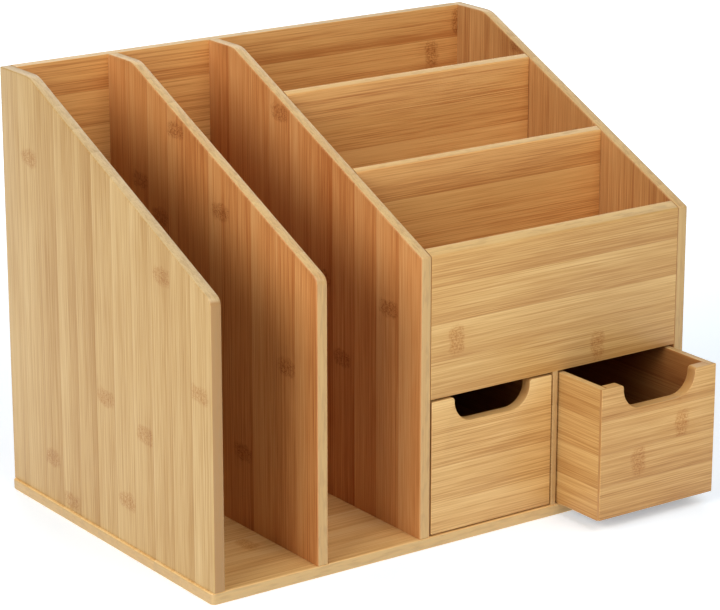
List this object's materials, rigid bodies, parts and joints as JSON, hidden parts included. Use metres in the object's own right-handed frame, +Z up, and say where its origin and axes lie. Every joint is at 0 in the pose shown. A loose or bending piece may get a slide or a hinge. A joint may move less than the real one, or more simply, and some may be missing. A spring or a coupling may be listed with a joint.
{
  "type": "desk organizer",
  "caption": "Bamboo desk organizer with open magazine slots on the left, sloping letter compartments on the right and small drawers with finger cut-outs below them.",
  "frame": {"origin": "on the underside of the base board, at the middle of its width and depth", "axes": "+X to the right as seen from the front, +Y from the front edges to the back panel, +Z up; the drawers slide out along -Y"},
  "size_m": [0.33, 0.258, 0.255],
  "materials": {
    "board_base": "satin lacquered bamboo",
    "board_upright": "satin lacquered bamboo, upright grain",
    "board_front": "satin lacquered bamboo, level grain",
    "board_inner": "satin lacquered bamboo, level grain",
    "board_drawer": "satin lacquered bamboo, grain front to back",
    "dowel_wood": "plain beech dowel",
    "screw_steel": "zinc plated"
  },
  "bodies": {
    "cabinet": {"base_board": "board_base", "left_side_panel": "board_upright", "magazine_divider": "board_upright", "main_divider": "board_upright", "right_side_panel": "board_upright", "back_panel": "board_inner", "upper_front_panel": "board_front", "rear_letter_divider": "board_inner", "front_letter_divider": "board_inner", "drawer_shelf": "board_inner", "drawer_partition": "board_inner", "base_screws": "screw_steel", "back_screws": "screw_steel", "back_panel_dowels": "dowel_wood", "front_panel_dowels": "dowel_wood", "shelf_dowels": "dowel_wood", "letter_divider_dowels": "dowel_wood", "partition_dowels": "dowel_wood"},
    "left_drawer": {"left_drawer_front": "board_front", "left_drawer_left_side": "board_drawer", "left_drawer_right_side": "board_drawer", "left_drawer_back": "board_drawer", "left_drawer_bottom": "board_drawer", "left_drawer_dowels": "dowel_wood"},
    "right_drawer": {"right_drawer_front": "board_front", "right_drawer_left_side": "board_drawer", "right_drawer_right_side": "board_drawer", "right_drawer_back": "board_drawer", "right_drawer_bottom": "board_drawer", "right_drawer_dowels": "dowel_wood"}
  },
  "joints": [
    {"name": "left_drawer_slide", "type": "slide", "parent": "cabinet", "child": "left_drawer", "axis": [0, -1, 0], "range_m": [0, 0.15]},
    {"name": "right_drawer_slide", "type": "slide", "parent": "cabinet", "child": "right_drawer", "axis": [0, -1, 0], "range_m": [-0.038, 0.112]}
  ]
}
